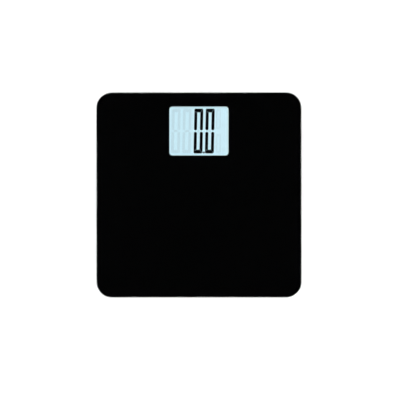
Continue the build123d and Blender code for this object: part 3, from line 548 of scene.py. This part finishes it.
def seven(left, bottom, width, height, stroke, bar, slit, tip, shoulder, slant, soft, corner):
    """Outlines of the seven segments of one digit, keyed a to g. All lengths in millimetres.

    slit is the light line at each mitre; tip and shoulder are how far an upright's point and its
    sides stop short of the digit's middle; corner is the radius of the digit's outer corners.
    The mitres run to the outer corner on the right, and out to the side on the left."""
    mid = bottom + height / 2
    top, right = bottom + height, left + width
    dx, dy, gap, side = slit * 0.62, slit * 0.74, slit * 0.55, bar * 0.66

    def lean(points):
        for x, y, sx, sy in ((left, bottom, -1, -1), (right, bottom, 1, -1), (left, top, -1, 1), (right, top, 1, 1)):
            cx, cy = x - sx * corner, y - sy * corner
            for degrees in (15, 30, 45, 60, 75):
                nx, ny = sx * math.cos(math.radians(degrees)), sy * math.sin(math.radians(degrees))
                points = trimmed(points, nx, ny, nx * cx + ny * cy + corner)
        return rounded([(x + (y - mid) * slant, y) for x, y in points], soft)

    def upright(x0, x1, y_out, y_in, way):
        return lean([(x0, y_out), (x1, y_in), (x1, mid + way * shoulder), ((x0 + x1) / 2, mid + way * tip), (x0, mid + way * shoulder)])

    g, reach = bar * 0.36, stroke * 0.62
    return {
        "a": lean([(left, top), (right - dx, top), (right - stroke - dx, top - bar), (left + stroke, top - bar + gap), (left, top - side + gap)]),
        "d": lean([(left, bottom), (left, bottom + side - gap), (left + stroke, bottom + bar - gap), (right - stroke - dx, bottom + bar), (right - dx, bottom)]),
        "f": upright(left, left + stroke, top - side - gap, top - bar - gap, 1),
        "b": upright(right, right - stroke, top - dy, top - bar - dy, 1),
        "e": upright(left, left + stroke, bottom + side + gap, bottom + bar + gap, -1),
        "c": upright(right, right - stroke, bottom + dy, bottom + bar + dy, -1),
        "g": lean([(left + reach, mid), (left + reach + g, mid + g), (right - reach - g, mid + g), (right - reach, mid), (right - reach - g, mid - g), (left + reach + g, mid - g)]),
    }


face_low, face_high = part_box("lcd_front_polarizer")
FACE = face_high.z / MM                     # top of the display, under the glass
SEG0, SEG1 = FACE - 0.05, FACE + 0.04

# Four tall digits across the window. Lit strokes are a tenth wider than unlit ones, so that they keep their weight in a render.
COMMON = dict(slit=0.13, tip=0.8, shoulder=2.5, slant=0.0212, soft=0.3, corner=2.2)
FINE = dict(bottom=61.2, width=12.61, height=64.9, stroke=3.95, bar=4.85, **COMMON)
FULL = dict(bottom=60.825, width=13.01, height=65.65, stroke=4.35, bar=5.6, **COMMON)
DIGITS = ((-40.115, FINE), (-23.915, FINE), (-7.265, FULL), (9.435, FULL))

on, off = [], []
for place, (left, shape) in enumerate(DIGITS):
    segments = seven(left, **shape)
    for key, outline in segments.items():
        (on if place >= 2 and key != "g" else off).append(outline)
on.append(rounded([(5.8, 60.7), (8.2, 60.7), (8.2, 63.45), (5.8, 63.45)], 0.3))
solid("display_digits_on", on, SEG0, SEG1, on_segment)
solid("display_digits_off", off, SEG0, SEG1, off_segment)

# Two small digits, one above the other, at the right.
small = []
for bottom, height in ((97.0, 28.3), (62.2, 26.7)):
    small += seven(25.1, bottom, 6.9, height, 1.9, 2.3, 0.2, 0.5, 1.3, 0.0212, 0.2, 0.7).values()
solid("display_small_digits_off", small, SEG0, SEG1, off_small)


def unit_mark(name, text, size, x, y):
    """A unit mark that is off, as a thin closed mesh whose lower left is at x, y."""
    curve = bpy.data.curves.new(name + "_outline", "FONT")
    curve.body = text
    curve.size = size * MM
    curve.extrude = 0.045 * MM
    curve.resolution_u = 6
    maker = bpy.data.objects.new(name + "_outline", curve)
    bpy.context.scene.collection.objects.link(maker)
    bpy.context.view_layer.update()
    mesh = bpy.data.meshes.new_from_object(maker.evaluated_get(bpy.context.evaluated_depsgraph_get()))
    bpy.data.objects.remove(maker)
    bm = bmesh.new()
    bm.from_mesh(mesh)
    bmesh.ops.remove_doubles(bm, verts=bm.verts, dist=1e-7)
    bmesh.ops.translate(bm, verts=bm.verts, vec=(x * MM, y * MM, (SEG0 + SEG1) / 2 * MM))
    bmesh.ops.recalc_face_normals(bm, faces=bm.faces)
    bm.to_mesh(mesh)
    bm.free()
    mesh.name = name
    mesh.materials.clear()
    mesh.materials.append(off_unit)
    obj = bpy.data.objects.new(name, mesh)
    bpy.context.scene.collection.objects.link(obj)
    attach(obj, "platform")
    return obj


unit_mark("display_unit_kg_off", "kg", 6.6, 33.3, 101.0)
unit_mark("display_unit_lb_off", "lb", 6.6, 33.6, 64.6)


# ---------------------------------------------------------------- floor, light, camera
def floor_material():
    """Pale near the object; far off it fades into the studio's own brightness, so no horizon shows."""
    m = Maker("pale_floor")
    m.put(Specular_IOR_Level=0.0)
    pale = m.ramp(m.noise(3.0, 4.0), [(0.3, (0.83, 0.83, 0.83)), (0.7, (0.86, 0.86, 0.86))])
    x, y = m.axis("X"), m.axis("Y")
    away = m.math("SQRT", m.math("ADD", m.math("MULTIPLY", x, x), m.math("MULTIPLY", y, y)))
    far = m.span(away, 0.0, 1.0, 0.9, 2.6, "SMOOTHSTEP")
    m.base(m.mix(far, pale, (0.0, 0.0, 0.0)))
    m.put(Emission_Color=(1.0, 1.0, 1.0, 1.0))
    m.join(far, m.bsdf.inputs["Emission Strength"])
    m.rough(m.span(m.noise(40.0), 0.75, 0.85, 0.3, 0.7))
    return m.mat


floor_mesh = bpy.data.meshes.new("floor")
floor_mesh.from_pydata([(-7, -7, 0), (7, -7, 0), (7, 7, 0), (-7, 7, 0)], [], [(0, 1, 2, 3)])
floor = bpy.data.objects.new("floor", floor_mesh)
bpy.context.scene.collection.objects.link(floor)
floor.data.materials.append(floor_material())

world = bpy.data.worlds.new("studio")
bpy.context.scene.world = world
world.use_nodes = True
wt = world.node_tree
background = wt.nodes["Background"]
coord = wt.nodes.new("ShaderNodeTexCoord")
split = wt.nodes.new("ShaderNodeSeparateXYZ")
ramp = wt.nodes.new("ShaderNodeValToRGB")
wt.links.new(coord.outputs["Generated"], split.inputs["Vector"])
wt.links.new(split.outputs["Z"], ramp.inputs["Fac"])
stops = [(0.0, 1.0), (0.012, 0.995), (0.05, 0.88), (0.12, 0.594), (0.20, 0.27), (0.34, 0.153), (0.70, 0.135), (0.90, 0.036), (0.955, 0.0)]
while len(ramp.color_ramp.elements) < len(stops):
    ramp.color_ramp.elements.new(0.5)
for element, (at, grey) in zip(ramp.color_ramp.elements, stops):
    element.position = at
    element.color = (grey, grey, min(grey * 1.01, 1.0), 1.0)
background.inputs["Strength"].default_value = 1.0


def world_math(op, a, b):
    n = wt.nodes.new("ShaderNodeMath")
    n.operation = op
    for i, v in enumerate((a, b)):
        if isinstance(v, (int, float)):
            n.inputs[i].default_value = v
        else:
            wt.links.new(v, n.inputs[i])
    return n.outputs[0]


def fade(value, start, end):
    n = wt.nodes.new("ShaderNodeMapRange")
    n.interpolation_type = "SMOOTHSTEP"
    n.inputs["From Min"].default_value, n.inputs["From Max"].default_value = start, end
    wt.links.new(value, n.inputs["Value"])
    return n.outputs["Result"]


def along(azimuth):
    """How far a direction leans towards an azimuth, counted as for the softboxes."""
    n = wt.nodes.new("ShaderNodeVectorMath")
    n.operation = "DOT_PRODUCT"
    a = math.radians(azimuth)
    n.inputs[1].default_value = (math.sin(a), -math.cos(a), 0.0)
    wt.links.new(coord.outputs["Generated"], n.inputs[0])
    return n.outputs["Value"]


def panel(azimuth, first, last, soft, low, high, bright):
    """A soft-edged studio panel. It runs sideways from first to last and up from low to high, as sines."""
    aside = along(azimuth + 90)
    weight = world_math("MULTIPLY", fade(aside, first, first + soft), fade(aside, last, last - soft))
    weight = world_math("MULTIPLY", weight, fade(along(azimuth), 0.1, 0.3))
    weight = world_math("MULTIPLY", weight, fade(split.outputs["Z"], low, low + 0.08))
    weight = world_math("MULTIPLY", weight, fade(split.outputs["Z"], high, high - 0.16))
    return world_math("MULTIPLY", weight, bright)


total = ramp.outputs["Color"]
for args in ((225, -0.04, 0.55, 0.16, 0.16, 0.62, 0.68), (45, -0.03, 0.50, 0.14, 0.12, 0.50, 0.50)):
    add = wt.nodes.new("ShaderNodeMix")
    add.data_type, add.blend_type = "RGBA", "ADD"
    add.inputs["Factor"].default_value = 1.0
    wt.links.new(total, add.inputs[6])
    wt.links.new(panel(*args), add.inputs[7])
    total = add.outputs[2]
wt.links.new(total, background.inputs["Color"])


def softbox(name, azimuth, elevation, distance, size, power):
    light = bpy.data.lights.new(name, "AREA")
    light.shape = "SQUARE"
    light.size = size
    light.energy = power
    obj = bpy.data.objects.new(name, light)
    bpy.context.scene.collection.objects.link(obj)
    a, e = math.radians(azimuth), math.radians(elevation)
    obj.location = Vector((math.sin(a) * math.cos(e), -math.cos(a) * math.cos(e), math.sin(e))) * distance
    obj.rotation_mode = "QUATERNION"
    obj.rotation_quaternion = obj.location.to_track_quat("Z", "Y")
    return obj


for i, azimuth in enumerate((20, 110, 200, 290)):
    softbox(f"softbox_{i}", azimuth, 52, 2.6, 1.5, 43)

GLASS_TOP = cad_box[1][2]
camera = bpy.data.cameras.new("camera")
camera.lens = 120
camera.sensor_width = 36
camera.clip_start, camera.clip_end = 0.05, 60
cam = bpy.data.objects.new("camera", camera)
bpy.context.scene.collection.objects.link(cam)
PIXEL = 0.3 / 205.1                                  # metres to a pixel of the frame at the glass
cam.location = (1.05 * PIXEL, -5.08 * PIXEL, GLASS_TOP + 400 * PIXEL * camera.lens / camera.sensor_width)
bpy.context.scene.camera = cam

bpy.context.scene.view_settings.view_transform = "Standard"
bpy.context.scene.view_settings.look = "None"
